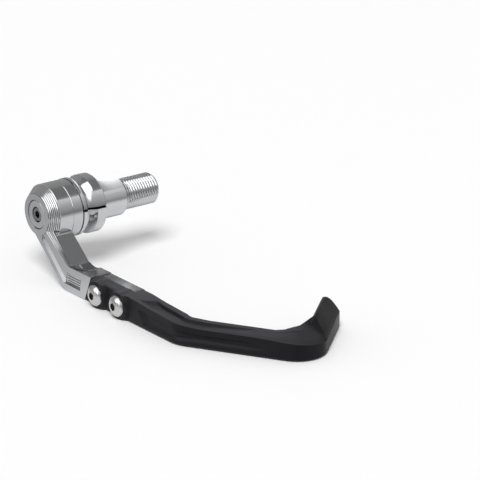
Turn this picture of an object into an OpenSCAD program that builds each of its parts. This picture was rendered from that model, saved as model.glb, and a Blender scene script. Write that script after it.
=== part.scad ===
// Brake lever guard for the left end of a handlebar
// A machined arm clamps on a turned bar end, and a moulded guard blade is screwed to the arm.
// Frame: +X along the bar towards the rider's grip, -Y forward, +Z up.
// The origin lies on the bar axis, where the collar meets the end of the bar.
// Sizes are in millimetres.

/* [Bar end] */
// Outside diameter of the threaded stud
thread_d = 18; // [14:0.5:24]
// Length of the threaded stud
thread_l = 23; // [12:0.5:40]
// Height of the thread's end chamfer
thread_chamfer = 1.2; // [0.4:0.1:2.5]
// Distance between two thread crests
thread_pitch = 1.5; // [1:0.25:2.5]
// Depth of the thread
thread_depth = 0.72; // [0.4:0.02:0.9]
// Diameter of the plain spigot that fills the end of the bar
spigot_d = 22.4; // [19:0.1:26]
// Length of the plain spigot
spigot_l = 19; // [8:0.5:30]
// Diameter of the collar that stops against the bar
collar_d = 33.6; // [29:0.2:38]
// Width of the collar
collar_w = 6.2; // [3:0.1:12]
// Width of the round groove beside the collar
groove_w = 4.2; // [2:0.1:7]
// Depth of the round groove
groove_depth = 3.4; // [1:0.1:4.5]
// Width of the narrow ring between groove and hub
ring_w = 3.6; // [2:0.1:8]
// Gap between the ring and the hub
ring_gap = 1.2; // [0.6:0.1:3]
// Diameter of the stub that the hub sits on
stub_d = 24; // [20:0.2:26]
// Running clearance between stub and hub bore, on the radius
stub_clear = 0.05; // [0.02:0.01:0.1]

/* [Hub] */
// Outside diameter of the hub
hub_d = 32.6; // [31:0.2:40]
// Length of the hub along the bar
hub_l = 21; // [17:0.5:30]
// Diameter of the hub's flat outer face
face_d = 23.6; // [21:0.2:28]
// Length of the stepped cone between face and barrel
cone_l = 5.6; // [3:0.1:8]
// Number of turned steps on the cone
cone_steps = 7; // [3:1:10]
// Depth of one turned step
step_depth = 0.28; // [0.1:0.02:0.5]
// Thickness of the hub's end wall
hub_wall = 3; // [2:0.1:5]
// Width of the fine line turned round the barrel
line_w = 0.4; // [0.2:0.1:0.8]

/* [Cap and centre screw] */
// Diameter of the cap disc
cap_d = 16.6; // [14:0.2:20]
// Thickness of the cap disc
cap_t = 7; // [6:0.1:9]
// Clearance around the cap, on the radius
cap_clear = 0.1; // [0.05:0.01:0.3]
// Shank diameter of the centre screw
centre_d = 5; // [4:0.5:6]
// Head diameter of the centre screw
centre_head_d = 8.5; // [7:0.1:10]
// Head height of the centre screw
centre_head_h = 4.4; // [3:0.1:5]
// Length of the centre screw's shank
centre_l = 18; // [12:0.5:22]
// Hexagon size of the centre screw
centre_hex = 4; // [3:0.5:5]
// Thickness of the lock washer under the head
washer_t = 0.8; // [0.4:0.1:1.2]

/* [Arm] */
// Depth of the guard's lower edge below the bar axis
drop = 37; // [30:0.5:50]
// Distance of the hub's outer face to the arm's outer face
arm_inset = 0.6; // [0.2:0.1:1.5]
// Thickness of the arm along the bar
arm_t = 13.6; // [10:0.2:16]
// Height of the straight forward part of the arm
arm_h = 14.8; // [12:0.2:18]
// Forward distance of the lower bend from the bar axis
bend_y = 26; // [22:0.5:34]
// Forward distance of the upper bend from the bar axis
upper_bend_y = 30; // [26:0.5:38]
// Forward distance of the arm's lower front corner
lip_y = 45.2; // [40:0.5:54]
// Forward lean of the arm's front edge from bottom to top
lip_lean = 6.4; // [0:0.2:9]
// Width of the stepped edge along the arm's upper side
edge_w = 2.4; // [1:0.1:3.5]
// Height of the stepped edge along the arm's upper side
edge_rise = 1.6; // [0.8:0.1:2.4]
// Number of milled steps on the upper edge
edge_steps = 4; // [2:1:6]
// Forward distance of the round hollow in the arm's top
scoop_y = 36.5; // [34:0.5:38]
// Distance of the hollow's middle from the arm's outer face
scoop_in = 8.3; // [8:0.1:10]
// Radius of the ball that cuts the hollow
scoop_r = 12; // [8:0.5:14]
// Depth of the hollow
scoop_depth = 2.4; // [1:0.1:2.6]

/* [Tongue] */
// Thickness of the tongue behind the blade
tongue_t = 6.6; // [4:0.1:8]
// Forward distance of the tongue's lower end
tongue_y = 89.5; // [80:0.5:100]
// Backward lean of the tongue's end from bottom to top
tongue_lean = 6.4; // [0:0.2:10]
// Step from the blade's top down to the tongue's top
tongue_step = 0.4; // [0.1:0.1:1]
// Clearance between tongue and blade at the tongue's end
tongue_clear = 0.15; // [0.05:0.05:0.4]

/* [Outer pocket] */
// Depth of the long groove in the arm's outer face
flute_depth = 1.2; // [0.5:0.1:2]
// Width of the groove at its round upper end
flute_w = 3.4; // [2:0.1:5]
// Depth of the pocket at the front end of the groove
pocket_depth = 1.6; // [0.8:0.1:2.5]
// Height of the pocket
pocket_h = 7; // [5:0.1:9]
// Number of fine ribs in the pocket
pocket_ribs = 4; // [2:1:6]

/* [Guard screws] */
// Thread diameter of the guard screws
screw_d = 6; // [5:0.5:8]
// Head diameter of the guard screws
screw_head_d = 12; // [9:0.2:13]
// Head height of the guard screws
screw_head_h = 3.3; // [2.5:0.1:4.5]
// Hexagon size of the guard screws
screw_hex = 4; // [3:0.5:5]
// Forward distance of the rear guard screw
screw_y = 59; // [56:0.5:64]
// Distance between the two guard screws
screw_pitch = 20.2; // [16:0.2:24]
// Diameter of the round pad under a guard screw
pad_d = 15.2; // [13.4:0.2:16]
// Diameter of the pad's foot on the blade
pad_foot_d = 19; // [17:0.5:20]
// Height of the pad above the blade's outer side
pad_h = 1.9; // [0.5:0.1:2.5]
// Diameter of the small set screw in the arm
set_d = 5; // [4:0.5:6]
// Length of the small set screw
set_l = 7; // [5:0.5:9]
// Depth of the set screw below the arm's inner side
set_sink = 2; // [0.5:0.1:3]
// Forward distance of the set screw from the bar axis
set_y = 14.2; // [13.6:0.2:15]
// Depth of the set screw below the bar axis
set_drop = 14.8; // [14:0.2:16]

/* [Guard blade] */
// Forward distance of the first bend
first_bend_y = 130; // [122:0.5:140]
// Length of the middle run, measured between the sharp corners
middle_l = 81.4; // [72:0.5:92]
// Inward turn of the middle run, in degrees
middle_turn = 31.7; // [20:0.2:40]
// Length of the hooked end, measured from the sharp corner
hook_l = 56; // [46:0.5:65]
// Turn of the hooked end, in degrees
hook_turn = 99.5; // [90:0.5:110]
// Outer radius of the first bend
bend_r = 18; // [16:0.5:30]
// Outer radius of the rounded corner
corner_r = 16.5; // [15:0.5:22]
// Width of the blade where the rounded corner begins
corner_w = 14.6; // [13:0.1:14.9]
// Rise of the blade's inner edge up to the start of the rounded corner
corner_rise = 2.7; // [0.5:0.1:3.4]
// Width of the middle run
middle_w = 13; // [11:0.2:15]
// Height of the outer side along the middle run
middle_side_h = 11; // [9:0.1:12]
// Height of the inner edge along the middle run
middle_top_h = 12.4; // [11.5:0.1:14]
// Height of the inner side along the middle run
middle_inner_h = 9.8; // [8:0.1:11]
// Width of the hooked end
hook_w = 8; // [7:0.1:10]
// Height of the hooked end
hook_h = 20.3; // [17:0.1:23]
// Height of the hooked end's upright outer side
hook_side_h = 9.7; // [8:0.1:11]
// Drop of the outer side's edge round the corner
corner_dip = 1.8; // [0:0.1:2.2]
// Length of the hooked end's rounded upper corner
tip_l = 9.6; // [5:0.1:14]
// Height of the hooked end's rounded upper corner
tip_h = 8.3; // [5:0.1:10]
// Size of the chamfer along the lower edges
edge_chamfer = 1; // [0.3:0.1:1.5]
// Forward distance where the recesses in the blade begin
recess_y = 94.6; // [93:0.2:98]
// Depth of the long recess in the blade's side
side_recess_depth = 1.4; // [0.4:0.1:2]
// Forward slant of the side recess's rear end
side_slant = 6; // [2:0.5:8]
// Depth of the long recess in the blade's top
top_recess_depth = 1.8; // [0.6:0.1:2.4]
// Forward slant of the top recess's rear end
top_slant = 7; // [2:0.5:8]

/* [Hidden] */
$fn = 64;
collar_x = -collar_w;
groove_x = collar_x - groove_w;
ring_x = groove_x - ring_w;
hub_in_x = ring_x - ring_gap;
face_x = hub_in_x - hub_l;
cap_floor_x = face_x + cap_t;
bore_x = cap_floor_x + hub_wall;
washer_x = cap_floor_x - (cap_t - centre_head_h - washer_t - 0.6);
head_x = washer_x - washer_t - centre_head_h;
outer_x = face_x + arm_inset;
inner_x = outer_x + arm_t;
tongue_x = inner_x - tongue_t;
low_z = -drop;
top_z = low_z + arm_h;
screw_z = low_z + arm_h / 2;
seat_x = outer_x - pad_h;
thread_turns = floor((thread_l - thread_chamfer - 0.4) / thread_pitch);

// Turns a drawing with radius across and length up so that it lies along the bar
module along_bar() {
    rotate([0, 90, 0]) rotate([0, 0, 90]) rotate_extrude(convexity = 8, $fn = 96) children();
}

// Raises a side view, drawn as forward distance and height, from x0 to x1
module side_plate(x0, x1) {
    multmatrix([[0, 0, 1, x0], [-1, 0, 0, 0], [0, 1, 0, 0], [0, 0, 0, 1]])
        linear_extrude(x1 - x0, convexity = 8) children();
}

// A round bar or bore along the bar direction
module axial(x0, x1, d) {
    translate([x0, 0, 0]) rotate([0, 90, 0]) cylinder(h = x1 - x0, d = d);
}

// Side view of the bend and of the straight part up to the front edge
module arm_side(grow = 0) {
    polygon([
        [-0.34 * hub_d, -0.1 * hub_d],
        [-0.07 * hub_d, -0.385 * hub_d],
        [0.33 * bend_y, -0.584 * drop],
        [0.82 * bend_y, -0.91 * drop],
        [bend_y, low_z],
        [lip_y, low_z],
        [lip_y + lip_lean, top_z],
        [upper_bend_y + grow * 0.3, top_z],
        [0.33 * hub_d + grow * 0.6, -0.24 * hub_d + grow * 0.8],
        [6, 0]
    ]);
}

// Side view of the tongue that carries the blade
module tongue_side() {
    polygon([
        [lip_y - 2, low_z],
        [tongue_y, low_z],
        [tongue_y - tongue_lean, top_z - tongue_step],
        [lip_y + lip_lean - 2, top_z - tongue_step]
    ]);
}

// Long round-ended groove down the outer face, turning at the bend into a pocket
module outer_flute() {
    side_plate(outer_x - 1, outer_x + flute_depth)
        hull() {
            translate([5.6, -12.6]) circle(d = flute_w, $fn = 24);
            translate([bend_y + 0.6, low_z + arm_h * 0.48]) circle(d = pocket_h * 0.9, $fn = 24);
        }
    side_plate(outer_x - 1, outer_x + pocket_depth)
        polygon([
            [bend_y - 0.6, low_z + 4.2],
            [bend_y + 0.8, low_z + 4.2 + pocket_h],
            [lip_y - 3.2, low_z + 3.6 + pocket_h],
            [lip_y - 4.4, low_z + 3.8]
        ]);
}

// Fine ribs on the floor of the pocket
module pocket_rib_set() {
    pitch = pocket_h / (pocket_ribs + 1);
    for (i = [1 : pocket_ribs])
        side_plate(outer_x + pocket_depth - 0.5, outer_x + pocket_depth + 0.2)
            translate([bend_y + 1, low_z + 4 + i * pitch])
                square([lip_y - bend_y - 6.4, pitch * 0.35]);
}

module arm() {
    color([0.72, 0.73, 0.75])
    difference() {
        union() {
            along_bar() hub_profile();
            for (i = [0 : edge_steps - 1])
                side_plate(outer_x + i * edge_w / edge_steps, inner_x)
                    arm_side(i * edge_rise / edge_steps);
            side_plate(tongue_x, inner_x) tongue_side();
        }
        axial(bore_x, hub_in_x + 1, stub_d + 2 * stub_clear);
        axial(face_x - 1, cap_floor_x, cap_d + 2 * cap_clear);
        axial(face_x, bore_x + 1, centre_d + 0.6);
        outer_flute_cut();
        translate([outer_x + scoop_in, -scoop_y, top_z + scoop_r - scoop_depth]) sphere(r = scoop_r);
        for (y = [screw_y, screw_y + screw_pitch])
            translate([0, -y, screw_z]) axial(tongue_x - 1, inner_x + 1, screw_d + 0.1);
        translate([0, -set_y, -set_drop]) axial(inner_x - set_sink - set_l, inner_x + 1, set_d + 0.1);
    }
}

module outer_flute_cut() {
    difference() {
        outer_flute();
        pocket_rib_set();
    }
}

// Turned outline of the hub with its stepped cone
module hub_profile() {
    rf = face_d / 2;
    rh = hub_d / 2;
    sl = cone_l / cone_steps;
    sr = (rh - rf) / cone_steps;
    polygon(concat(
        [[0, face_x], [rf, face_x]],
        [for (i = [0 : cone_steps - 1]) each [
            [rf + i * sr, face_x + i * sl + sl * 0.55],
            [rf + (i + 1) * sr, face_x + (i + 1) * sl - step_depth * 0.2]
        ]],
        [[rh, face_x + cone_l + 0.1], [rh, inner_x - line_w / 2], [rh - line_w / 2, inner_x]],
        [[rh, inner_x + line_w / 2], [rh, hub_in_x - 0.6], [rh - 0.6, hub_in_x], [0, hub_in_x]]
    ));
}

// One turn of the thread: root, rise to the crest's flat, and the flat's far end
function thread_crest(x) = [
    [thread_d / 2 - thread_depth, x],
    [thread_d / 2, x + thread_pitch * 0.42],
    [thread_d / 2, x + thread_pitch * 0.58]
];

module bar_end() {
    rc = collar_d / 2;
    color([0.74, 0.75, 0.77])
    difference() {
        along_bar()
            difference() {
                polygon(concat([
                    [0, bore_x + 0.3],
                    [stub_d / 2 - 0.5, bore_x + 0.3],
                    [stub_d / 2, bore_x + 0.8],
                    [stub_d / 2, hub_in_x],
                    [rc - 2.2, hub_in_x],
                    [rc - 2.2, ring_x],
                    [rc - 0.7, ring_x],
                    [rc - 0.2, ring_x + 0.5],
                    [rc - 0.2, groove_x],
                    [rc, collar_x],
                    [rc, -0.5],
                    [rc - 0.5, 0],
                    [spigot_d / 2, 0],
                    [spigot_d / 2, spigot_l - 1.4],
                    [spigot_d / 2 - 1, spigot_l],
                    [thread_d / 2 - thread_depth, spigot_l]],
                    [for (i = [0 : thread_turns - 1]) each thread_crest(spigot_l + 0.2 + i * thread_pitch)],
                    [[thread_d / 2 - thread_depth, spigot_l + 0.2 + thread_turns * thread_pitch],
                    [thread_d / 2 - thread_chamfer, spigot_l + thread_l],
                    [0, spigot_l + thread_l]
                ]));
                translate([rc + 1, (groove_x + collar_x) / 2])
                    scale([(groove_depth + 1) / (groove_w / 2), 1])
                        circle(d = groove_w, $fn = 64);
            }
        axial(bore_x, washer_x + centre_l + 0.6, centre_d + 0.1);
    }
}

module hub_cap() {
    color([0.78, 0.78, 0.8])
    difference() {
        along_bar()
            polygon([
                [0, face_x + 0.3],
                [cap_d / 2 - 0.5, face_x + 0.3],
                [cap_d / 2, face_x + 0.8],
                [cap_d / 2, cap_floor_x],
                [0, cap_floor_x]
            ]);
        axial(face_x - 1, washer_x, centre_head_d + 0.5);
        axial(face_x, cap_floor_x + 1, centre_d + 0.5);
    }
}

module lock_washer() {
    color([0.6, 0.6, 0.62])
    difference() {
        axial(washer_x - washer_t, washer_x, centre_head_d - 0.1);
        axial(washer_x - washer_t - 1, washer_x + 1, centre_d + 0.3);
    }
}

module centre_screw() {
    color([0.66, 0.67, 0.69])
    difference() {
        along_bar()
            polygon([
                [0, head_x],
                [centre_head_d / 2 - 0.5, head_x],
                [centre_head_d / 2, head_x + 0.5],
                [centre_head_d / 2, washer_x - washer_t],
                [centre_d / 2, washer_x - washer_t],
                [centre_d / 2, washer_x + centre_l - 0.6],
                [centre_d / 2 - 0.6, washer_x + centre_l],
                [0, washer_x + centre_l]
            ]);
        translate([head_x - 1, 0, 0]) rotate([0, 90, 0]) cylinder(h = 3.4, d = centre_hex / cos(30), $fn = 6);
    }
}

// Domed button head, hexagon socket and shank, seated in the blade
module guard_screw(y) {
    r = screw_head_d / 2;
    tip = inner_x - seat_x + 0.4;
    translate([seat_x, -y, screw_z])
    difference() {
        rotate([0, 90, 0]) rotate([0, 0, 90]) rotate_extrude($fn = 96)
            polygon(concat(
                [[0, -screw_head_h]],
                [for (a = [18 : 12 : 90]) [r * sin(a), -0.5 - (screw_head_h - 0.5) * cos(a)]],
                [[r, 0], [screw_d / 2, 0], [screw_d / 2, tip - 0.6], [screw_d / 2 - 0.6, tip], [0, tip]]
            ));
        translate([-screw_head_h - 1, 0, 0]) rotate([0, 90, 0])
            cylinder(h = 3.1, d = screw_hex / cos(30), $fn = 6);
    }
}

module rear_guard_screw() {
    color([0.7, 0.71, 0.73]) guard_screw(screw_y);
}

module front_guard_screw() {
    color([0.7, 0.71, 0.73]) guard_screw(screw_y + screw_pitch);
}

module set_screw() {
    color([0.3, 0.3, 0.32])
    translate([inner_x - set_sink - set_l, -set_y, -set_drop])
    difference() {
        rotate([0, 90, 0]) cylinder(h = set_l, d = set_d, $fn = 48);
        translate([set_l - 2.5, 0, 0]) rotate([0, 90, 0]) cylinder(h = 3, d = 2.5 / cos(30), $fn = 6);
    }
}

// Plan of the blade's outer side: three straight runs joined by two round corners
function inward(h) = [-sin(h), cos(h)];
function along(h) = [cos(h), sin(h)];
middle_h = -90 + middle_turn;
hook_h_dir = middle_h + hook_turn;
bend_pt = [outer_x, -first_bend_y];
corner_pt = bend_pt + middle_l * along(middle_h);
bend_t = bend_r * tan(middle_turn / 2);
corner_t = corner_r * tan(hook_turn / 2);
bend_mid = [outer_x + bend_r, -first_bend_y + bend_t];
corner_mid = corner_pt - corner_t * along(middle_h) + corner_r * inward(middle_h);
run_end = tongue_y + 1.5;
bend_n = 4;
corner_n = 10;
tip_n = 5;

// Station: point on the outer side, heading, share of the middle section, share of the hook's section,
// share of the side recess, share of the top recess, share of the slant, dip of the edge, widening,
// share of the inner edge's rise, and share of the slope left where the tip is rounded off
function straight(y, m, side, top, slant) = [[outer_x, -y], -90, m, 0, side, top, slant, 0, 1, 0, 1];
function middle(l, side, top, dip, rise) =
    [bend_pt + l * along(middle_h), middle_h, 1, 0, side, top, 0, dip, 1, rise, 1];
function hook(l, dip, left) =
    [corner_pt + l * along(hook_h_dir), hook_h_dir, 1, 1, 0, 0, 0, dip, 1, 1, left];

// The corner's inner side cuts straight across from the corner's start to its end and rises evenly
start_gap = corner_r - corner_w;
end_gap = corner_r - hook_w;
chord = [end_gap * cos(hook_turn) - start_gap, end_gap * sin(hook_turn)];
start_rise = corner_rise / (hook_h - middle_top_h);
function corner_gap(a) = start_gap * chord[1] / (chord[1] * cos(a) - chord[0] * sin(a));
function corner_lift(a) = start_rise + (1 - start_rise) * corner_gap(a) * sin(a) / chord[1];
stations = concat(
    [straight(run_end, 0, 0, 0, 0)],
    [straight(recess_y, 0.06, 0, 0, 1)],
    [straight(recess_y + 2.5, 0.12, 1, 1, 1)],
    [straight(recess_y + 12, 0.3, 1, 1, 0.2)],
    [for (i = [0 : bend_n]) let (h = -90 + i * middle_turn / bend_n)
        [bend_mid - bend_r * inward(h), h, 0.5 + 0.3 * i / bend_n, 0, 1, 1, 0, 0, 1, 0, 1]],
    [middle(bend_t + 10, 1, 0.9, 0, 0)],
    [middle(0.38 * middle_l, 0.75, 0.5, 0, 0)],
    [middle(0.53 * middle_l, 0.35, 0, 0, 0)],
    [middle(0.64 * middle_l, 0, 0, 0.15, 0)],
    [middle(0.7 * middle_l, 0, 0, 0.3, 0.36 * start_rise)],
    [for (i = [0 : corner_n]) let (t = i / corner_n, h = middle_h + t * hook_turn, k = pow(sin(90 * t), 2))
        [corner_mid - corner_r * inward(h), h, 1, k, 0, 0, 0, 0.45 + 0.55 * sin(90 * t),
            (corner_r - corner_gap(t * hook_turn)) / (middle_w * (1 - k) + hook_w * k),
            corner_lift(t * hook_turn), 1]],
    [hook(corner_t + 16, 0.4, 1)],
    [for (i = [0 : tip_n]) let (a = 90 * i / tip_n)
        hook(hook_l - tip_l * (1 - sin(a)), 0, 1 - tip_h * (1 - cos(a)) / (hook_h - hook_side_h))]
);

// Sections as width inward and height: at the arm, in the middle run and in the hook.
// Both recesses are flat here and get their depth from the station.
start_section = [
    [edge_chamfer, 0], [0, edge_chamfer], [0, 2], [0, 3.4], [0, 9], [0, 10.4], [0, arm_h - 0.5],
    [2.2, arm_h - 0.3], [3, arm_h - 0.3], [8, arm_h], [8.8, arm_h], [arm_t - 1.2, arm_h],
    [arm_t, arm_h - 0.8], [arm_t, edge_chamfer], [arm_t - edge_chamfer, 0]
];
middle_section = [
    [edge_chamfer, 0], [0, edge_chamfer], [0, 3.4], [0, 4.8], [0, 7], [0, 7.8], [0, middle_side_h],
    [1.5, middle_side_h + 0.6], [2.2, middle_side_h + 0.8], [6.6, middle_top_h - 0.2], [7.2, middle_top_h],
    [middle_w - 2.2, middle_top_h], [middle_w, middle_inner_h], [middle_w, edge_chamfer],
    [middle_w - edge_chamfer, 0]
];
bevel = [hook_w - 1, hook_h - hook_side_h];
hook_section = [
    [edge_chamfer, 0], [0, edge_chamfer], [0, 3], [0, 4.2], [0, 6.2], [0, 7], [0, hook_side_h],
    for (f = [0.2, 0.3, 0.7, 0.8, 1]) [f * bevel[0], hook_side_h + f * bevel[1]],
    [hook_w, hook_h - 0.2], [hook_w, edge_chamfer], [hook_w - edge_chamfer, 0]
];
// How far each point sinks at full recess, how much of the rise it takes,
// and how far it moves forward at full slant
side_sink = [0, 0, 0, 1, 1, 0, 0, 0, 0, 0, 0, 0, 0, 0, 0];
top_sink = [0, 0, 0, 0, 0, 0, 0, 0, 1, 1, 0, 0, 0, 0, 0];
dip_share = [0, 0, 0, 0.1, 0.3, 0.4, 1, 0.8, 0.7, 0.3, 0.2, 0, 0, 0, 0];
rise_share = [0, 0, 0, 0, 0, 0, 0, 1, 1, 1, 1, 1, 1, 0, 0];
slope_share = [0, 0, 0, 0, 0, 0, 0, 1, 1, 1, 1, 1, 0, 0, 0];
lead = [0, 0, side_slant, side_slant, 1, 0, 0, 0, 1, top_slant, top_slant, 0, 0, 0, 0];
ns = len(start_section);

function blend(a, b, c, m, k) =
    let (ab = a * (1 - m) + b * m)
    [ab[0] * (1 - k[0]) + c[0] * k[0], ab[1] * (1 - k[1]) + c[1] * k[1]];

// Point j of the section at a station, set out in the model's frame
function blade_point(s, j) = let (
    k = s[3] + rise_share[j] * (s[9] - s[3]),
    q = blend(start_section[j], middle_section[j], hook_section[j], s[2], [s[3], k]),
    w = q[0] * s[8] * (1 - slope_share[j] * (1 - s[10])) + side_sink[j] * s[4] * side_recess_depth,
    z = q[1] - top_sink[j] * s[5] * top_recess_depth - dip_share[j] * s[7] * corner_dip
        - rise_share[j] * (q[1] - hook_side_h) * (1 - s[10]),
    f = lead[j] * s[6],
    p = s[0] + w * inward(s[1]) + f * along(s[1])
) [p[0], p[1], low_z + z];

// Middle of a closed ring of points
function middle_of(ring) = [for (q = ring) 1] * ring / len(ring);

module blade_body() {
    rings = [for (s = stations) [for (j = [0 : ns - 1]) blade_point(s, j)]];
    n = len(rings);
    polyhedron(
        points = concat([for (ring = rings) each ring], [middle_of(rings[0]), middle_of(rings[n - 1])]),
        faces = [
            for (j = [0 : ns - 1]) [n * ns, (j + 1) % ns, j],
            for (i = [0 : n - 2]) for (j = [0 : ns - 1]) each [
                [i * ns + j, (i + 1) * ns + (j + 1) % ns, (i + 1) * ns + j],
                [i * ns + j, i * ns + (j + 1) % ns, (i + 1) * ns + (j + 1) % ns]
            ],
            for (j = [0 : ns - 1]) [n * ns + 1, (n - 1) * ns + j, (n - 1) * ns + (j + 1) % ns]
        ],
        convexity = 10
    );
}

// Straight first run of the blade, drawn as its section and raised along the run
module blade_run() {
    translate([outer_x, -lip_y + 4, low_z])
        rotate([90, 0, 0])
            linear_extrude(run_end - lip_y + 4) polygon(start_section);
}

// Round pad under a guard screw, flaring into the blade's outer side
module screw_pad(y) {
    translate([0, -y, screw_z]) axial(seat_x, tongue_x, pad_d);
    intersection() {
        translate([seat_x, -y, screw_z]) rotate([0, 90, 0])
            cylinder(h = pad_h + 0.6, d1 = pad_d, d2 = pad_foot_d, $fn = 96);
        translate([seat_x - 1, -y - pad_foot_d, low_z]) cube([pad_h + 3, 2 * pad_foot_d, arm_h - 0.5]);
    }
}

module guard_blade() {
    color([0.1, 0.1, 0.11]) {
        difference() {
            union() {
                blade_run();
                for (y = [screw_y, screw_y + screw_pitch]) screw_pad(y);
            }
            // front edge of the arm
            side_plate(outer_x - pad_h - 1, inner_x + 2)
                polygon([
                    [lip_y - 20, low_z - 3],
                    [lip_y + tongue_clear - 3 * lip_lean / arm_h, low_z - 3],
                    [lip_y + tongue_clear + lip_lean * (arm_h + 4) / arm_h, top_z + 4],
                    [lip_y - 20, top_z + 4]
                ]);
            // room for the tongue
            side_plate(tongue_x, inner_x + 2)
                polygon([
                    [lip_y - 20, low_z - 3],
                    [tongue_y + tongue_clear + 3 * tongue_lean / arm_h, low_z - 3],
                    [tongue_y + tongue_clear - tongue_lean * (arm_h + 3) / arm_h, top_z + 3],
                    [lip_y - 20, top_z + 3]
                ]);
            for (y = [screw_y, screw_y + screw_pitch])
                translate([0, -y, screw_z]) axial(seat_x - 1, tongue_x + 1, screw_d + 0.5);
        }
        blade_body();
    }
}

arm();
guard_blade();
rear_guard_screw();
front_guard_screw();
hub_cap();
centre_screw();
lock_washer();
bar_end();
set_screw();
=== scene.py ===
import math

import bmesh
import bpy
import numpy as np
from bpy.props import FloatProperty, FloatVectorProperty, IntProperty, PointerProperty
from mathutils import Matrix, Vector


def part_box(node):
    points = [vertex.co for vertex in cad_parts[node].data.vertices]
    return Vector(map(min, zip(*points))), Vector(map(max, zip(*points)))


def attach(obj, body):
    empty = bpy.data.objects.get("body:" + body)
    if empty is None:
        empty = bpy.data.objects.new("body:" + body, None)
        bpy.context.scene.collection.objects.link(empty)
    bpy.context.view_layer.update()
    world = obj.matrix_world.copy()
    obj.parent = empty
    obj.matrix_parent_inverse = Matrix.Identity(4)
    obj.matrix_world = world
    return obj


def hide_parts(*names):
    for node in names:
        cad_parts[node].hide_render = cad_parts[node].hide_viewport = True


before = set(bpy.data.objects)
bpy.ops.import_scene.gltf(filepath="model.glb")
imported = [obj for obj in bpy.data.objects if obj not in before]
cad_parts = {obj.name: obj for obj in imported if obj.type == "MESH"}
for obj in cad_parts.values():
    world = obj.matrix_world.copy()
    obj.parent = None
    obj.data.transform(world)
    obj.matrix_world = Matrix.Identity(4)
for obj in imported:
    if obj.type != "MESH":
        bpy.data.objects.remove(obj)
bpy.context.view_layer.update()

bl_info = {
    "name": "Lever guard dressing",
    "version": (1, 0, 0),
    "blender": (4, 5, 0),
    "location": "3D View > Sidebar > Guard",
    "description": "Dresses the packed brake lever guard: finishes, thread, softened edges and a photo stage",
    "category": "Object",
}

# X runs along the bar, from the hub's outer face to the end of the stud, -Y is forward and Z is up.
# The turned parts lie round the X axis.

MM = 0.001

# Turn of the camera about the upright and its tilt above the floor, and the direction that it looks in.
AZIMUTH, ELEVATION = math.radians(37.26), math.radians(19.87)
SIGHT = (math.sin(AZIMUTH) * math.cos(ELEVATION), math.cos(AZIMUTH) * math.cos(ELEVATION),
         -math.sin(ELEVATION))

# The plain spigot's radius and the end of its run along the bar, in millimetres.
SPIGOT_R, SPIGOT_END = 11.2, 19.0

# The slit's turn round the bar in degrees, from the back over the top, and its depth in millimetres.
SLIT_ANGLE, SLIT_DEPTH = 172.5, 1.0

# Place along the bar where the ring starts, just clear of the hub, in millimetres.
RING_START = -15.1

# Depth of the cuts between the teeth of the stepped edge, in millimetres before the stair is scaled.
TOOTH_CUT = 0.36


def node_box(name):
    """Lowest and highest corner of a CAD node, as two numpy arrays in metres."""
    low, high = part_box(name)
    return np.array(low, float), np.array(high, float)


BAR_LOW, BAR_HIGH = node_box("bar_end")
ARM_LOW, _ = node_box("arm")
BLADE_LOW, _ = node_box("guard_blade")


# ---------------------------------------------------------------- properties

class StudProps(bpy.types.PropertyGroup):
    """Sizes of the turned bar end that the dressing adds to."""

    pitch: FloatProperty(name="Thread pitch", description="Distance between two thread crests",
                         default=1.69 * MM, unit="LENGTH", precision=5)
    thread_depth: FloatProperty(name="Thread depth", description="Height of a thread ridge",
                                default=0.8 * MM, unit="LENGTH", precision=5)
    sides: IntProperty(name="Segments", description="Segments round the bar", default=144, min=24)


class EdgeProps(bpy.types.PropertyGroup):
    """How far the machined and moulded edges are broken."""

    arm_edge: FloatProperty(name="Arm edge", description="Width of the broken edges on the arm",
                            default=0.16 * MM, unit="LENGTH", precision=5)
    teeth: IntProperty(name="Edge teeth", description="Teeth on the arm's slanted upper edge",
                       default=4, min=2)
    blade_edge: FloatProperty(name="Blade edge", description="Width of the soft edges on the blade",
                              default=0.4 * MM, unit="LENGTH", precision=5)


class FinishProps(bpy.types.PropertyGroup):
    """Colours of the finishes."""

    satin: FloatVectorProperty(name="Milled aluminium", description="Colour of the milled arm",
                               subtype="COLOR", default=(0.53, 0.535, 0.545), min=0, max=1)
    turned: FloatVectorProperty(name="Turned aluminium", description="Colour of the bar end and the cap",
                                subtype="COLOR", default=(0.55, 0.555, 0.565), min=0, max=1)
    # The spigot's colour is paler than the turned aluminium as painted light; its gloss is also rougher.
    spigot: FloatVectorProperty(name="Spigot", description="Colour of the pale, finely sanded spigot",
                                subtype="COLOR", default=(0.565, 0.57, 0.575), min=0, max=1)
    stainless: FloatVectorProperty(name="Stainless steel", description="Colour of the guard's two screws",
                                   subtype="COLOR", default=(0.58, 0.57, 0.57), min=0, max=1)
    moulding: FloatVectorProperty(name="Black moulding", description="Colour of the guard blade",
                                  subtype="COLOR", default=(0.0065, 0.0065, 0.008), min=0, max=1)


class StageProps(bpy.types.PropertyGroup):
    """Floor, light and camera."""

    floor_colour: FloatVectorProperty(name="Floor", description="Colour of the floor",
                                      subtype="COLOR", default=(0.96, 0.96, 0.965), min=0, max=1)
    azimuth: FloatProperty(name="Azimuth", description="Turn of the camera about the upright",
                           default=AZIMUTH, subtype="ANGLE")
    elevation: FloatProperty(name="Elevation", description="Tilt of the camera above the floor",
                             default=ELEVATION, subtype="ANGLE")
    lens: FloatProperty(name="Lens", description="Focal length of the camera in millimetres",
                        default=225.0, unit="CAMERA")
    sun: FloatProperty(name="Sun", description="Strength of the key light", default=2.2, min=0)
    surround: FloatProperty(name="Surround", description="Level of the white surround", default=0.5, min=0)


# ---------------------------------------------------------------- mesh helpers

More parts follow.
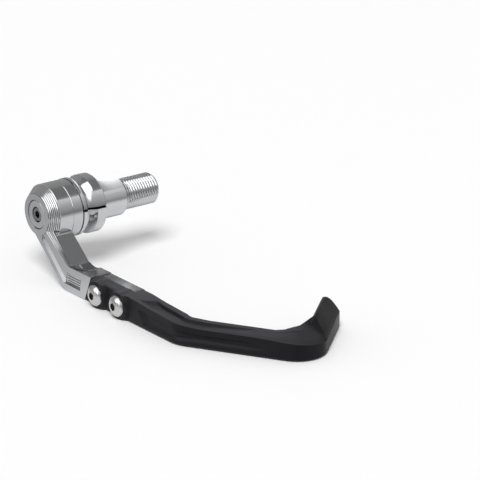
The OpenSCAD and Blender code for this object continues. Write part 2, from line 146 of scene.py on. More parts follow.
def grid_mesh(name, points, closed=False):
    """Mesh from a grid of points, rows by columns, joined by quads.

    Point (i, j) is tied to (i+1, j), (i+1, j+1) and (i, j+1); in a closed grid each row wraps round.
    """
    rows, cols = points.shape[:2]
    i, j = np.meshgrid(np.arange(rows - 1), np.arange(cols if closed else cols - 1), indexing="ij")
    i2, j2 = i + 1, (j + 1) % cols
    quads = np.stack([i * cols + j, i2 * cols + j, i2 * cols + j2, i * cols + j2], axis=-1).reshape(-1, 4)
    mesh = bpy.data.meshes.new(name)
    mesh.from_pydata(points.reshape(-1, 3).tolist(), [], quads.tolist())
    mesh.update()
    return mesh


def capped(points):
    """The grid with one more row at each end, drawn together to that end row's middle, which closes it."""
    ends = [np.repeat(row.mean(axis=0)[None], len(row), axis=0)[None] for row in (points[0], points[-1])]
    return np.concatenate([ends[0], points, ends[1]])


def arc(centre, radius, start, end, count):
    """Points of a round arc in profile space, from one angle in degrees to another."""
    t = np.radians(np.linspace(start, end, count))
    return np.stack([centre[0] + radius * np.cos(t), centre[1] + radius * np.sin(t)], axis=1)


def smooth_run(points, count=40, reach=3):
    """Profile points along straight runs whose corners are rounded by a moving average.

    The points are spread evenly by length, and each becomes the mean of itself and its neighbours as
    far as the reach on both sides. The ends stay sharp.
    """
    points = np.array(points, float)
    along = np.concatenate([[0], np.cumsum(np.hypot(*np.diff(points, axis=0).T))])
    at = np.linspace(0, along[-1], count)
    run = np.stack([np.interp(at, along, points[:, k]) for k in (0, 1)], axis=1)
    rounded = run.copy()
    shifts = range(-reach, reach + 1)
    rounded[reach:-reach] = np.mean([run[reach + k:count - reach + k] for k in shifts], axis=0)
    return rounded


def link_object(name, data):
    """New object with the given data, in the scene, at the origin."""
    obj = bpy.data.objects.new(name, data)
    bpy.context.scene.collection.objects.link(obj)
    return obj


def finish_piece(name, mesh, material, stands_for=(), smooth_angle=35):
    """Makes a mesh a piece: welded, with its faces turned outwards, shaded, and tied to the frame."""
    bm = bmesh.new()
    bm.from_mesh(mesh)
    bmesh.ops.remove_doubles(bm, verts=bm.verts, dist=1e-7)
    bmesh.ops.dissolve_degenerate(bm, edges=bm.edges, dist=1e-8)
    bmesh.ops.recalc_face_normals(bm, faces=bm.faces)
    bm.to_mesh(mesh)
    bm.free()
    mesh.shade_smooth()
    mesh.set_sharp_from_angle(angle=math.radians(smooth_angle))
    mesh.materials.clear()
    mesh.materials.append(material)
    piece = link_object(name, mesh)
    if stands_for:
        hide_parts(*stands_for)
    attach(piece, "root")
    return piece


def softened_copy(name, node, width, material, angle=28, segments=2, smooth_angle=25):
    """Copy of a CAD node, welded, with every edge sharper than the angle broken by a narrow bevel.

    Faces within 0.4 degrees of each other are joined first, so that no bevel runs into the loose
    triangles of a flat face.
    """
    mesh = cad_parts[node].data.copy()
    mesh.name = name
    bm = bmesh.new()
    bm.from_mesh(mesh)
    bmesh.ops.remove_doubles(bm, verts=bm.verts, dist=0.002 * MM)
    bmesh.ops.dissolve_degenerate(bm, edges=bm.edges, dist=0.001 * MM)
    bmesh.ops.dissolve_limit(bm, angle_limit=math.radians(0.4), verts=bm.verts, edges=bm.edges)
    bm.to_mesh(mesh)
    bm.free()
    piece = finish_piece(name, mesh, material, (node,), smooth_angle=smooth_angle)
    bevel = piece.modifiers.new("Broken edges", "BEVEL")
    bevel.width = width
    bevel.segments = segments
    bevel.limit_method = "ANGLE"
    bevel.angle_limit = math.radians(angle)
    bevel.use_clamp_overlap = True
    bevel.harden_normals = True
    bevel.miter_outer = "MITER_ARC"
    return piece


def face_data(mesh):
    """Middles and normals of a mesh's faces, as two arrays."""
    middles = np.empty(len(mesh.polygons) * 3)
    normals = np.empty(len(mesh.polygons) * 3)
    mesh.polygons.foreach_get("center", middles)
    mesh.polygons.foreach_get("normal", normals)
    return middles.reshape(-1, 3), normals.reshape(-1, 3)


def give_zone(mesh, material, inside):
    """Adds a material and gives it to the faces that a true-or-false array picks out."""
    mesh.materials.append(material)
    index = np.empty(len(mesh.polygons), dtype=np.int32)
    mesh.polygons.foreach_get("material_index", index)
    index[inside] = len(mesh.materials) - 1
    mesh.polygons.foreach_set("material_index", index)
    mesh.update()


# ---------------------------------------------------------------- material helpers

def new_material(name):
    """Material with its node tree, its shader and a node for Object coordinates."""
    mat = bpy.data.materials.new(name)
    mat.use_nodes = True
    tree = mat.node_tree
    return mat, tree, tree.nodes["Principled BSDF"], add_node(tree, "TexCoord")


def add_node(tree, kind, **settings):
    """New shader node of a kind, with its settings."""
    node = tree.nodes.new("ShaderNode" + kind)
    for key, value in settings.items():
        setattr(node, key, value)
    return node


def calculate(tree, operation, value, other=0.0):
    """Result of a Math node on an output and a second value, which is a number or an output."""
    node = add_node(tree, "Math", operation=operation)
    tree.links.new(value, node.inputs[0])
    if isinstance(other, (int, float)):
        node.inputs[1].default_value = other
    else:
        tree.links.new(other, node.inputs[1])
    return node.outputs[0]


def mixed(tree, factor, first, second):
    """Colour from the first to the second by a factor, where each colour is fixed or an output."""
    node = add_node(tree, "Mix", data_type="RGBA")
    tree.links.new(factor, node.inputs["Factor"])
    for socket, colour in ((node.inputs["A"], first), (node.inputs["B"], second)):
        if isinstance(colour, tuple):
            socket.default_value = (*colour, 1)
        else:
            tree.links.new(colour, socket)
    return node.outputs["Result"]


def mapping(tree, coord, scale, location=(0, 0, 0)):
    """Object coordinates times the scale, and then moved."""
    node = add_node(tree, "Mapping")
    node.inputs["Scale"].default_value = scale
    node.inputs["Location"].default_value = location
    tree.links.new(coord.outputs["Object"], node.inputs["Vector"])
    return node.outputs["Vector"]


def distance(tree, coord, centre=(0, 0, 0), scale=(1, 1, 1)):
    """Distance from a centre, or from an axis where the scale is 0 along it."""
    node = add_node(tree, "VectorMath", operation="LENGTH")
    tree.links.new(mapping(tree, coord, scale, tuple(-c for c in centre)), node.inputs[0])
    return node.outputs["Value"]


def along_bar(tree, coord):
    """Place along the bar, which is the Object coordinate X."""
    split = add_node(tree, "SeparateXYZ")
    tree.links.new(coord.outputs["Object"], split.inputs[0])
    return split.outputs["X"]


def noise(tree, vector, detail=3.0, roughness=0.5):
    """Noise of scale 1 over a vector that carries its own scale."""
    node = add_node(tree, "TexNoise")
    node.inputs["Scale"].default_value = 1.0
    node.inputs["Detail"].default_value = detail
    node.inputs["Roughness"].default_value = roughness
    tree.links.new(vector, node.inputs["Vector"])
    return node.outputs["Fac"]


def ramp(tree, value, stops):
    """Colour ramp whose stops are pairs of a place and a colour or grey level."""
    node = add_node(tree, "ValToRGB")
    while len(node.color_ramp.elements) < len(stops):
        node.color_ramp.elements.new(0.5)
    for element, (place, level) in zip(node.color_ramp.elements, stops):
        element.position = place
        colour = level if isinstance(level, (tuple, list)) else (level, level, level)
        element.color = (*colour, 1)
    tree.links.new(value, node.inputs["Fac"])
    return node.outputs["Color"]


def bump(tree, height, strength, distance_mm):
    """Normal that a height pattern bends, as if the pattern were that many millimetres deep."""
    node = add_node(tree, "Bump")
    node.inputs["Strength"].default_value = strength
    node.inputs["Distance"].default_value = distance_mm * MM
    tree.links.new(height, node.inputs["Height"])
    return node.outputs["Normal"]


def tinted(colour, factor):
    """Colour made darker or paler by a factor."""
    return tuple(min(1.0, c * factor) for c in colour)


def marked_gloss(tree, shader, marks, low, high, strength):
    """Roughness from low to high across the tool marks, which also stand out very slightly."""
    tree.links.new(ramp(tree, marks, [(0.3, low), (0.7, high)]), shader.inputs["Roughness"])
    tree.links.new(bump(tree, marks, strength, 0.02), shader.inputs["Normal"])


def patchy_colour(tree, shader, patches, colour, dark, pale):
    """Base colour that wanders from a darker to a paler tint across the patches."""
    tree.links.new(ramp(tree, patches, [(0.25, tinted(colour, dark)), (0.75, tinted(colour, pale))]),
                   shader.inputs["Base Color"])


def patchy_gloss(tree, coord, shader, scale, low, high):
    """Roughness from low to high in small even patches."""
    patches = noise(tree, mapping(tree, coord, (scale,) * 3))
    tree.links.new(ramp(tree, patches, [(0.3, low), (0.7, high)]), shader.inputs["Roughness"])


# ---------------------------------------------------------------- finishes, with painted light and shade

def milled_metal(name, colour, low=0.11, high=0.15, grain=(60, 1400, 1400), strength=0.006):
    """Milled metal: long faint cutter lines, patchy gloss and a slightly mottled tone."""
    mat, tree, shader, coord = new_material(name)
    lines = noise(tree, mapping(tree, coord, grain), 4.0, 0.6)
    patches = noise(tree, mapping(tree, coord, (90, 90, 90)))
    patchy_colour(tree, shader, patches, colour, 0.95, 1.04)
    marked_gloss(tree, shader, lines, low, high, strength)
    shader.inputs["Metallic"].default_value = 1.0
    return mat


def plain_metal(name, colour, low, high, grain=300, strength=0.03):
    """Milled metal whose grain is the same in all directions."""
    return milled_metal(name, colour, low, high, (grain,) * 3, strength)


def turned_metal(name, colour, low=0.08, high=0.14, strength=0.02, metallic=1.0):
    """Lathe-turned metal: rings round the bar axis, as fine feed marks, with a satin gloss.

    The marks are noise over the place along the bar and the distance from its axis, in metres times
    the scale.
    """
    marks_scale = 4200.0
    mat, tree, shader, coord = new_material(name)
    both = add_node(tree, "CombineXYZ")
    tree.links.new(along_bar(tree, coord), both.inputs["X"])
    tree.links.new(distance(tree, coord, scale=(0, 1, 1)), both.inputs["Y"])
    scaled = add_node(tree, "VectorMath", operation="SCALE")
    scaled.inputs["Scale"].default_value = marks_scale
    tree.links.new(both.outputs[0], scaled.inputs[0])
    patches = noise(tree, mapping(tree, coord, (70, 120, 120)))
    patchy_colour(tree, shader, patches, colour, 0.94, 1.05)
    marked_gloss(tree, shader, noise(tree, scaled.outputs["Vector"], 2.0), low, high, strength)
    shader.inputs["Metallic"].default_value = metallic
    return mat


def socket_shaded_metal(name, plain, node, radius=2.4, mouth=0.3, depth=3.3):
    """A plain metal with painted shade inside a screw's socket, where its colour is made darker.

    The socket is a short tube round the screw's axis. It starts at the mouth's distance behind the
    head's outer end and goes that deep, in millimetres.
    """
    socket_shade_colour = (0.17, 0.17, 0.175)
    mat = plain.copy()
    mat.name = name
    tree = mat.node_tree
    shader = tree.nodes["Principled BSDF"]
    coord = add_node(tree, "TexCoord")
    low, high = node_box(node)
    middle = (low + high) / 2
    away = distance(tree, coord, (0, middle[1], middle[2]), (0, 1, 1))
    x = along_bar(tree, coord)
    inside = calculate(tree, "LESS_THAN", away, radius * MM)
    behind = calculate(tree, "GREATER_THAN", x, low[0] + mouth * MM)
    before = calculate(tree, "LESS_THAN", x, low[0] + (mouth + depth) * MM)
    in_socket_shade = calculate(tree, "MULTIPLY", calculate(tree, "MULTIPLY", inside, behind), before)
    bright = shader.inputs["Base Color"].links[0].from_socket
    # Painted shade: inside the socket the colour turns dark.
    tree.links.new(mixed(tree, in_socket_shade, bright, socket_shade_colour), shader.inputs["Base Color"])
    return mat


def painted_ring_cone(name, colour, start, pitch):
    """Turned cone whose steps have painted highlights on their crests and painted shade in their corners,
    repeating along the bar.

    The colour follows the part of a pitch by which a point lies past the last whole one from the start.
    """
    mat, tree, shader, coord = new_material(name)
    turns = calculate(tree, "DIVIDE", calculate(tree, "SUBTRACT", along_bar(tree, coord), start), pitch)
    part = calculate(tree, "FRACT", turns)
    # Painted highlight and shade: factors above 1 make the crests paler, factors below 1 make the corners
    # darker.
    highlight_and_shade_tints = [(0.0, 1.5), (0.25, 0.7), (0.6, 0.35), (0.75, 1.2), (0.9, 1.75)]
    stops = [(place, tinted(colour, factor)) for place, factor in highlight_and_shade_tints]
    tree.links.new(ramp(tree, part, stops), shader.inputs["Base Color"])
    patchy_gloss(tree, coord, shader, 400, 0.1, 0.2)
    shader.inputs["Metallic"].default_value = 1.0
    return mat


def painted_tooth_edge(name, colour):
    """Milled edge with a painted highlight on its teeth and painted shade in its grooves, by the mesh's own
    depth.
    """
    mat, tree, shader, coord = new_material(name)
    depth = add_node(tree, "Attribute", attribute_name="depth")
    # Painted highlight on the teeth, painted shade at the bottom of the cuts.
    stops = [(0.05, tinted(colour, 1.15)), (0.5, tinted(colour, 0.28))]
    tree.links.new(ramp(tree, depth.outputs["Fac"], stops), shader.inputs["Base Color"])
    patchy_gloss(tree, coord, shader, 300, 0.12, 0.2)
    shader.inputs["Metallic"].default_value = 1.0
    return mat


def black_moulding(name, colour):
    """Black moulded surface: spark texture, a soft sheen, faint handling marks and a painted sheen of paler
    colour on the upward faces.
    """
    top_sheen_colour = (0.042, 0.042, 0.046)
    mat, tree, shader, coord = new_material(name)
    grain = noise(tree, mapping(tree, coord, (2600, 2600, 2600)), 2.0)
    marks = noise(tree, mapping(tree, coord, (60, 35, 60)), 4.0, 0.6)
    plain = ramp(tree, marks, [(0.3, tinted(colour, 0.85)), (0.75, tinted(colour, 1.35))])
    upright = add_node(tree, "SeparateXYZ")
    tree.links.new(add_node(tree, "NewGeometry").outputs["Normal"], upright.inputs[0])
    # Painted sheen: faces that point up take a paler colour.
    painted_top_sheen = ramp(tree, upright.outputs["Z"], [(0.6, 0.0), (0.98, 1.0)])
    tree.links.new(mixed(tree, painted_top_sheen, plain, top_sheen_colour), shader.inputs["Base Color"])
    tree.links.new(ramp(tree, marks, [(0.3, 0.36), (0.75, 0.46)]), shader.inputs["Roughness"])
    tree.links.new(bump(tree, grain, 0.06, 0.03), shader.inputs["Normal"])
    shader.inputs["Specular IOR Level"].default_value = 0.14
    return mat


# ---------------------------------------------------------------- shapes

def bar_end_outline():
    """Outline of the bar end up to the stud, as places along the bar and radii in millimetres.

    It goes from the stub's hidden end over the ring's slope, the round groove, the collar and the
    spigot to the corner where the stud starts.
    """
    ring_r, collar_r, stub_r, root_r = 16.6, BAR_HIGH[2] / MM, 12.0, 8.1
    x_stub, x_collar = BAR_LOW[0] / MM, -6.2
    x_lip, x_low, x_bottom, r_bottom = -12.7, -11.2, -10.3, collar_r - 3.2
    stub = [(x_stub, 0.0), (x_stub, stub_r - 0.5), (x_stub + 0.5, stub_r), (RING_START, stub_r)]
    ring = [(RING_START, ring_r), (RING_START + 0.2, ring_r), (x_lip - 0.4, ring_r),
            (x_lip - 0.1, ring_r - 0.12)]
    groove = smooth_run([(x_lip, ring_r - 0.25), (x_low, r_bottom + 0.55), (x_bottom, r_bottom),
                         (x_collar - 1.6, collar_r - 1.1), (x_collar, collar_r - 0.05)])
    collar = [(x_collar + 0.1, collar_r), (x_collar + 0.35, collar_r), (-0.75, collar_r), (-0.5, collar_r)]
    round_edge = arc((-0.5, collar_r - 0.5), 0.5, 90, 0, 5)
    spigot = [(0.0, SPIGOT_R + 0.4), (0.4, SPIGOT_R), (0.7, SPIGOT_R), (SPIGOT_END - 1.7, SPIGOT_R),
              (SPIGOT_END - 1.4, SPIGOT_R), (SPIGOT_END, SPIGOT_R - 1), (SPIGOT_END, root_r)]
    return np.concatenate([stub, ring, groove, collar, round_edge, spigot])


def bar_end_mesh(props):
    """Turned outline carried round the bar axis.

    Each ring lies at one place along the outline. On the stud the radius drops by a clipped saw wave of
    the distance along the bar minus the turn's share of one pitch, which cuts a helical thread. One
    column of the points is lowered from the ring to the collar, which cuts the slit.
    """
    outline = bar_end_outline()
    thread_r, x_end = 9.0, BAR_HIGH[0] / MM
    rings_per_turn, chamfer_run, run_in = 20, 1.3, 0.6
    turns = (x_end - SPIGOT_END) * MM / props.pitch
    run = np.linspace(SPIGOT_END + 0.02, x_end, int(turns * rings_per_turn))
    chamfer = np.clip((x_end - run) / chamfer_run, 0, 1)
    stud = np.stack([run, thread_r - 1.25 * (1 - chamfer)], axis=1)
    close = np.array([(x_end, thread_r - 1.3), (x_end, 6.0), (x_end, 0.0)])
    profile = np.concatenate([outline, stud, close])
    share = np.concatenate([np.zeros(len(outline)),
                            np.clip((run - SPIGOT_END) / run_in, 0, 1) * (0.25 + 0.75 * chamfer),
                            np.zeros(len(close))])
    angle = np.linspace(0, 2 * math.pi, props.sides, endpoint=False)
    x = np.repeat(profile[:, :1], props.sides, axis=1)
    phase = (x * MM / props.pitch - angle[None, :] / (2 * math.pi)) % 1.0
    ridge = np.clip((1 - np.abs(2 * phase - 1)) * 1.2, 0, 1)
    r = profile[:, 1:] - share[:, None] * (props.thread_depth / MM) * (1 - ridge)
    slit_rows = (profile[:, 0] > RING_START - 0.1) & (profile[:, 0] < 0.01) & (profile[:, 1] > 13)
    r[slit_rows, int(round(SLIT_ANGLE / 360 * props.sides))] -= SLIT_DEPTH
    points = np.stack([x, r * np.cos(angle), r * np.sin(angle)], axis=-1) * MM
    return grid_mesh("turned_bar_end", points, closed=True)


def stepped_edge_mesh(props):
    """Stair of fine teeth swept down the arm's slanted upper edge.

    Each row lies at one share of the edge. A row's point goes across by its place along the bar and out
    by its growth, which follows the growth of the arm's side view at that share. Both shrink towards the
    edge's lower end. The start and the end of the edge are given forward and up, in millimetres. The
    depth attribute is 0 on the teeth and 1 at the bottom of a cut.
    """
    share = np.linspace(-0.06, 0.985, 24)[:, None]
    fade = 1 - np.clip(share, 0, 1)
    start, end = np.array((10.76, -7.82)), np.array((30.0, -22.2))
    place = np.linspace(0, 1, props.teeth * 4 + 1)[:-1]
    cut_in = np.interp((place * props.teeth) % 1.0, [0, 0.25, 0.5, 0.75], [0, 0, 0.1, TOOTH_CUT])
    along = np.concatenate([[0.0], place, [1.0, 1.0]])
    depth = np.concatenate([[0.0], cut_in, [0.0, 0.0]])
    across = (3.3 * along - 0.5) * (1 - 0.45 * (1 - fade)) + 0.7 * depth
    across[:, 0] = 0.08
    growth = 2.15 * along - 0.42 - 0.7 * depth
    growth[0] -= 0.1
    growth[-1] = 1.1
    x = ARM_LOW[0] / MM + 0.6 + across
    forward = start[0] + share * (end[0] - start[0]) + growth * (0.6 * fade + 0.3 * (1 - fade))
    z = start[1] + share * (end[1] - start[1]) + growth * 0.8 * fade
    mesh = grid_mesh("stepped_edge", capped(np.stack([x, -forward, z], axis=-1) * MM), closed=True)
    # The depth attribute also sets the edge's painted shade and highlight.
    shade = mesh.attributes.new("depth", "FLOAT", "POINT")
    shade.data.foreach_set("value", np.tile(depth / TOOTH_CUT, len(share) + 2))
    return mesh


def slope_fill_mesh():
    """Wedge along the arm's slanted upper face, from a thin start to a blunt end at the bend.

    Its outline is drawn in side view, by shares of the face's length and by millimetres off the face,
    and swept straight across the arm. It closes the thin end of the round hollow.
    """
    start, end = np.array((11.48, -6.86)), np.array((30.36, -22.2))
    along = (end - start) / np.linalg.norm(end - start)
    outward = np.array((-along[1], along[0]))
    reach = np.array([0.3, 0.3, 0.5, 0.7, 0.9, 0.985, 0.985])
    rise = np.array([-0.6, 0.015, 0.015, 0.015, 0.015, 0.015, -2.2])
    side = start + reach[:, None] * (end - start) + rise[:, None] * outward
    across = ARM_LOW[0] / MM + np.linspace(2.45, 14.12, 5)[:, None]
    x, forward, z = np.broadcast_arrays(across, side[:, 0], side[:, 1])
    return grid_mesh("slope_fill", capped(np.stack([x, -forward, z], axis=-1) * MM), closed=True)


# ---------------------------------------------------------------- operators

class DressBarEnd(bpy.types.Operator):
    """Turn the bar end with its groove, collar and helical thread"""

    bl_idname = "guard.bar_end"
    bl_label = "Bar end"

    def execute(self, context):
        finish = context.scene.guard_finish
        mat = turned_metal("turned_aluminium", tuple(finish.turned))
        mesh = bar_end_mesh(context.scene.guard_stud)
        finish_piece("turned_bar_end", mesh, mat, ("bar_end",), smooth_angle=25)
        middle, _ = face_data(mesh)
        x, y, z = middle.T / MM
        on_spigot = (x > 0.2) & (x < SPIGOT_END - 0.1)
        # Painted light: the spigot takes a paler copy of the turned finish, with a rougher and slightly less
        # metallic gloss.
        sanded = turned_metal("spigot_rough_painted_light", tuple(finish.spigot), low=0.12, high=0.2, metallic=0.92)
        give_zone(mesh, sanded, on_spigot)
        slit_half_turn, slit_floor_r = 2.6, 12.6
        near_slit = np.abs(np.degrees(np.arctan2(z, y)) - SLIT_ANGLE) < slit_half_turn
        in_slit = near_slit & (x > RING_START + 0.1) & (x < 0) & (np.hypot(y, z) > slit_floor_r)
        # Painted shade: the slit's faces take a near-black colour.
        dark = plain_metal("slit_shade", (0.02, 0.02, 0.022), 0.4, 0.55, 400, 0.02)
        give_zone(mesh, dark, in_slit)
        return {"FINISHED"}


class DressArm(bpy.types.Operator):
    """Give the milled arm its finish, its broken edges and its stepped edge, with painted shade on its upward
    faces and painted highlights and shade on its cone steps and edge teeth
    """

    bl_idname = "guard.arm"
    bl_label = "Arm"

    def execute(self, context):
        props = context.scene.guard_edge
        colour = tuple(context.scene.guard_finish.satin)
        mat = milled_metal("satin_aluminium", colour)
        arm = softened_copy("milled_arm", "arm", props.arm_edge, mat, smooth_angle=9)
        middle, normal = face_data(arm.data)
        along, y, z = (middle - (ARM_LOW[0], 0, 0)).T / MM
        away = np.hypot(y, z)
        cone_length, cone_small_r, cone_large_r = 5.62, 11.7, 16.35
        on_cone = (along > 0.1) & (along < cone_length) & (away > cone_small_r) & (away < cone_large_r)
        give_zone(arm.data, painted_ring_cone("cone_painted_rings", colour, ARM_LOW[0], 0.8 * MM), on_cone)
        # Painted shade: faces that point up, forward of the bend, take a darker copy of the satin finish.
        bend_y, underside_z = -30.2, -25.5
        on_top = (normal[:, 2] > 0.7) & (y < bend_y) & (z > underside_z)
        give_zone(arm.data, milled_metal("shaded_top", tinted(colour, 0.58)), on_top)
        finish_piece("stepped_edge", stepped_edge_mesh(props), painted_tooth_edge("edge_teeth_painted_shade", colour),
                     smooth_angle=12)
        finish_piece("slope_fill", slope_fill_mesh(), mat)
        return {"FINISHED"}


class DressBlade(bpy.types.Operator):
    """Give the black blade its finish, with a painted sheen on its upward faces, and soft edges"""

    bl_idname = "guard.blade"
    bl_label = "Blade"

    def execute(self, context):
        mat = black_moulding("black_moulding", tuple(context.scene.guard_finish.moulding))
        softened_copy("moulded_blade", "guard_blade", context.scene.guard_edge.blade_edge, mat,
                      angle=18, segments=3)
        return {"FINISHED"}


class DressHardware(bpy.types.Operator):
    """Give the cap, the washer and the screws their finish, with painted shade inside the screws' sockets"""

    bl_idname = "guard.hardware"
    bl_label = "Hardware"

    def execute(self, context):
        finish = context.scene.guard_finish
        cap = turned_metal("cap_aluminium", tuple(finish.turned), low=0.1, high=0.18)
        steel = plain_metal("stainless_screw", tuple(finish.stainless), 0.16, 0.26)
        zinc = plain_metal("dark_zinc", (0.26, 0.26, 0.27), 0.2, 0.32)
        dark = plain_metal("dark_steel", (0.12, 0.12, 0.13), 0.3, 0.45, 400, 0.05)
        for node, mat in (("hub_cap", cap), ("lock_washer", zinc), ("set_screw", dark),
                          ("centre_screw", socket_shaded_metal("zinc_socket_shade", zinc, "centre_screw")),
                          ("rear_guard_screw", socket_shaded_metal("rear_socket_shade", steel, "rear_guard_screw")),
                          ("front_guard_screw", socket_shaded_metal("front_socket_shade", steel, "front_guard_screw"))):
            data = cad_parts[node].data
            data.materials.clear()
            data.materials.append(mat)
        return {"FINISHED"}


class BuildStage(bpy.types.Operator):
    """Lay the pale floor and put up the studio tent, the card, the lamps and the camera"""

    bl_idname = "guard.stage"
    bl_label = "Stage"

    def execute(self, context):
        props = context.scene.guard_stage
        floor_z = float(BLADE_LOW[2]) - 0.02 * MM
        lay_floor(floor_z, tuple(props.floor_colour))
        raise_tent(floor_z)
        hang_card()
        hang_lamps(props)
        place_camera(props)
        return {"FINISHED"}


# ---------------------------------------------------------------- stage

def lay_floor(z, colour):
    """Flat pale square under the part, which mirrors see growing dimmer away from the part."""
    size = 3.0
    part_middle = (0.035, -0.085, 0)
    mesh = bpy.data.meshes.new("floor")
    corners = [(-size, -size, z), (size, -size, z), (size, size, z), (-size, size, z)]
    mesh.from_pydata(corners, [], [(0, 1, 2, 3)])
    floor = link_object("floor", mesh)
    mat, tree, shader, coord = new_material("pale_floor")
    dim = ramp(tree, distance(tree, coord, part_middle),
               [(0.085, colour), (0.13, tinted(colour, 0.66)), (0.24, tinted(colour, 0.55)),
                (0.5, tinted(colour, 0.3))])
    in_mirrors = add_node(tree, "LightPath").outputs["Is Glossy Ray"]
    tree.links.new(mixed(tree, in_mirrors, colour, dim), shader.inputs["Base Color"])
    shader.inputs["Roughness"].default_value = 0.6
    shader.inputs["Specular IOR Level"].default_value = 0.1
    mesh.materials.append(mat)


def studio_level(azimuth, elevation):
    """Brightness of the studio in a direction, in degrees: a dim room with two white soft boxes.

    The room's level follows the elevation. The front box takes the room's place over a window of azimuth
    and elevation, with a crisp upper edge, and the side box adds a plain level over another window.
    """
    def window(value, low, high, soft):
        return np.clip((value - low) / soft, 0, 1) * np.clip((high - value) / soft, 0, 1)

    room = np.interp(elevation, [0, 3, 20, 35, 48, 55, 90], [0.26, 0.42, 0.40, 0.40, 0.34, 0.25, 0.28])
    front = np.interp(elevation, [0, 2, 13, 29, 43, 47], [0.26, 0.34, 0.50, 0.66, 0.95, 1.0])
    inside = window(azimuth, -155, -15, 10) * window(elevation, -5, 48.5, 1.5)
    side = window((azimuth + 360) % 360, 145, 220, 6) * window(elevation, 10, 72, 3)
    return room * (1 - inside) + front * inside + 1.9 * side


def glowing_cloth(name):
    """Material that glows at the level of the mesh's own attribute."""
    mat = bpy.data.materials.new(name)
    mat.use_nodes = True
    tree = mat.node_tree
    tree.nodes.clear()
    out = add_node(tree, "OutputMaterial")
    glow = add_node(tree, "Emission")
    level = add_node(tree, "Attribute", attribute_name="level")
    tree.links.new(level.outputs["Fac"], glow.inputs["Strength"])
    tree.links.new(glow.outputs[0], out.inputs["Surface"])
    return mat


def hang_screen(name, points, levels, cloth, closed=False):
    """Grid of points that glows at its level at each point, and that only mirrors see."""
    mesh = grid_mesh(name, points, closed)
    level = mesh.attributes.new("level", "FLOAT", "POINT")
    level.data.foreach_set("value", levels.ravel())
    mesh.materials.append(glowing_cloth(cloth))
    screen = link_object(name, mesh)
    screen.visible_camera = False
    screen.visible_shadow = False
    screen.visible_diffuse = False


def raise_tent(z):
    """Half ball round the scene, from the floor up, with the studio's level at each point."""
    rows, cols, radius = 181, 360, 2.6
    up = np.linspace(0, math.pi / 2, rows)[:, None] + np.zeros((1, cols))
    turn = np.linspace(-math.pi, math.pi, cols, endpoint=False)[None, :] + np.zeros((rows, 1))
    points = np.stack([radius * np.cos(up) * np.cos(turn), radius * np.cos(up) * np.sin(turn),
                       z + radius * np.sin(up)], axis=-1)
    levels = studio_level(np.degrees(turn), np.degrees(up))
    hang_screen("studio_tent", points, levels, "tent_cloth", closed=True)


def hang_card():
    """White card, bent to lie where the spigot's upper side looks.

    A point of the spigot's upper side sends the camera's line of sight on along the mirrored direction,
    and the card lies on those lines at one distance.
    """
    reach = 0.12
    x = np.linspace(0.6, SPIGOT_END - 0.6, 8)[:, None] * MM
    turn = np.radians(np.linspace(-18, 47, 32))[None, :]
    normal = np.stack([0 * turn, -np.sin(turn), np.cos(turn)], axis=-1)
    sight = np.array(SIGHT)
    mirrored = sight - 2 * (normal @ sight)[..., None] * normal
    points = SPIGOT_R * MM * normal + reach * mirrored + np.stack([x, 0 * x, 0 * x], axis=-1)
    levels = np.interp(np.degrees(turn), [-10, 20, 32, 45], [2.2, 1.75, 1.25, 0.85]) + 0 * x
    hang_screen("spigot_card", points, levels, "card_cloth")


def frame_matrix(right, up, back, place):
    """Transform whose local X, Y and Z axes and origin are the four given vectors."""
    rows = np.eye(4)
    rows[:3] = np.stack([right, up, back, place], axis=1)
    return Matrix(rows.tolist())


def hang_lamps(props):
    """One soft sun over the camera's shoulder, which mirrors don't see, and the white surround."""
    azimuth, elevation, spread = math.radians(-135), math.radians(51), math.radians(24)
    back = np.array([math.cos(azimuth) * math.cos(elevation), math.sin(azimuth) * math.cos(elevation),
                     math.sin(elevation)])
    right = np.cross((0, 0, 1), back)
    right /= np.linalg.norm(right)
    data = bpy.data.lights.new("key_sun", "SUN")
    data.energy = props.sun
    data.angle = spread
    sun = link_object("key_sun", data)
    sun.visible_glossy = False
    sun.matrix_world = frame_matrix(right, np.cross(back, right), back, (0, 0, 1))
    world = bpy.data.worlds.new("surround")
    world.use_nodes = True
    background = world.node_tree.nodes["Background"]
    background.inputs["Color"].default_value = (1, 1, 1, 1)
    background.inputs["Strength"].default_value = props.surround
    bpy.context.scene.world = world


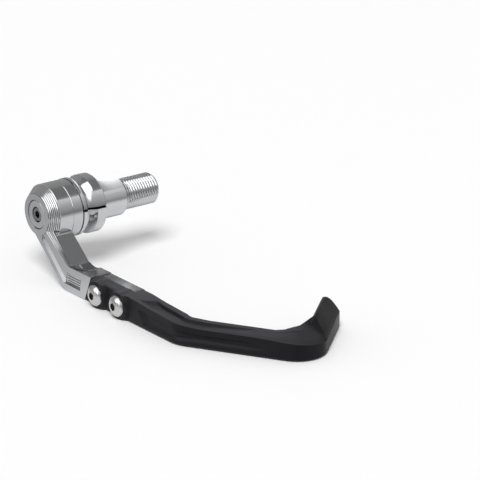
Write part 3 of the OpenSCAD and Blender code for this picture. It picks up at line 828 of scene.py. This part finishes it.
def place_camera(props):
    """Camera on the photograph's line of sight, held level, with a long lens."""
    azimuth, elevation = props.azimuth, props.elevation
    back = np.array([-math.sin(azimuth) * math.cos(elevation), -math.cos(azimuth) * math.cos(elevation),
                     math.sin(elevation)])
    right = np.array([math.cos(azimuth), -math.sin(azimuth), 0.0])
    place = np.array([-0.89791, -1.3196, 0.55316])
    data = bpy.data.cameras.new("photo_camera")
    data.sensor_width = 36
    data.sensor_height = 36
    data.sensor_fit = "HORIZONTAL"
    data.lens = props.lens
    data.clip_end = 20
    cam = link_object("photo_camera", data)
    cam.matrix_world = frame_matrix(right, np.cross(back, right), back, place)
    bpy.context.scene.camera = cam
    bpy.context.scene.view_settings.view_transform = "Standard"


# ---------------------------------------------------------------- panel and run

class GuardPanel(bpy.types.Panel):
    """Sidebar panel that lists the sizes and the steps"""

    bl_idname = "VIEW3D_PT_guard"
    bl_label = "Lever guard"
    bl_space_type = "VIEW_3D"
    bl_region_type = "UI"
    bl_category = "Guard"

    def draw(self, context):
        scene = context.scene
        for group, names in ((scene.guard_stud, ("pitch", "thread_depth", "sides")),
                             (scene.guard_edge, ("arm_edge", "blade_edge", "teeth")),
                             (scene.guard_finish, ("satin", "turned", "spigot", "stainless", "moulding")),
                             (scene.guard_stage, ("floor_colour", "azimuth", "elevation", "lens", "sun",
                                                  "surround"))):
            box = self.layout.box()
            for name in names:
                box.prop(group, name)
        for cls in STEPS:
            self.layout.operator(cls.bl_idname)


GROUPS = ((StudProps, "guard_stud"), (EdgeProps, "guard_edge"), (FinishProps, "guard_finish"),
          (StageProps, "guard_stage"))
STEPS = (BuildStage, DressBarEnd, DressArm, DressBlade, DressHardware)


def register():
    """Registers the property groups, the steps and the panel."""
    for cls, name in GROUPS:
        bpy.utils.register_class(cls)
        setattr(bpy.types.Scene, name, PointerProperty(type=cls))
    for cls in STEPS + (GuardPanel,):
        bpy.utils.register_class(cls)


def unregister():
    """Takes everything that register added away again."""
    for cls in reversed(STEPS + (GuardPanel,)):
        bpy.utils.unregister_class(cls)
    for cls, name in reversed(GROUPS):
        delattr(bpy.types.Scene, name)
        bpy.utils.unregister_class(cls)


def main():
    """Runs the steps in order."""
    register()
    bpy.ops.guard.stage()
    bpy.ops.guard.bar_end()
    bpy.ops.guard.arm()
    bpy.ops.guard.blade()
    bpy.ops.guard.hardware()


if __name__ == "__main__":
    main()
